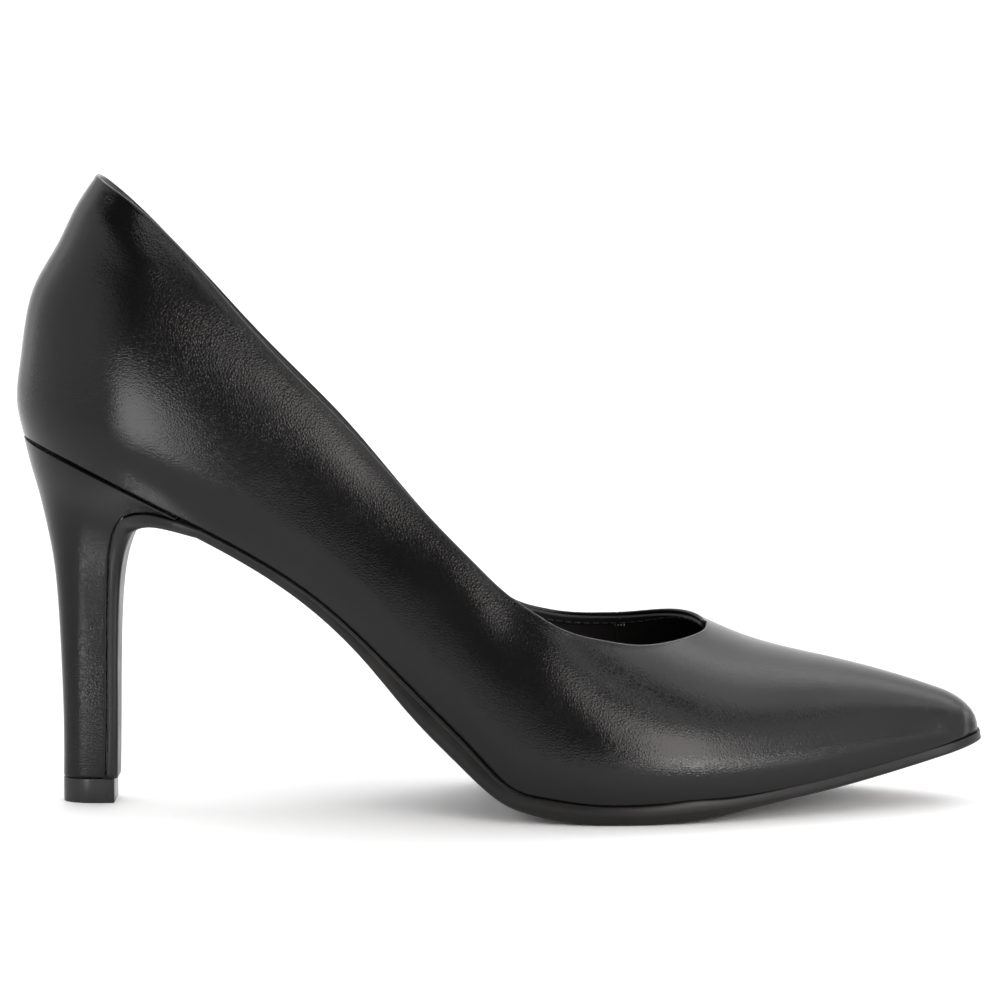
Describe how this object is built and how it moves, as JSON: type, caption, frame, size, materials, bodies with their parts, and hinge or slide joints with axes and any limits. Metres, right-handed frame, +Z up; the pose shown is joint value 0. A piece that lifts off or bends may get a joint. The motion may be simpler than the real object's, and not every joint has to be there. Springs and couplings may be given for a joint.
{
  "type": "pointed toe pump",
  "caption": "Pointed toe pump for the right foot: low-cut smooth black leather upper with a closed back, thin moulded sole and a slim leather-covered high heel.",
  "frame": {"origin": "on the floor, under the middle of the shoe's box", "axes": "+X from heel to toe, +Y to the inner side of the foot, +Z up"},
  "size_m": [0.2356, 0.0748, 0.153],
  "materials": {
    "leather": "smooth black leather, fine grain, semi-matt",
    "sole": "moulded black, satin",
    "sock": "black sock lining, matt",
    "tip": "hard black plastic"
  },
  "bodies": {
    "root": {"upper": "leather", "outsole": "sole", "insole": "sock", "heel": "leather", "top_piece": "tip"}
  },
  "joints": []
}
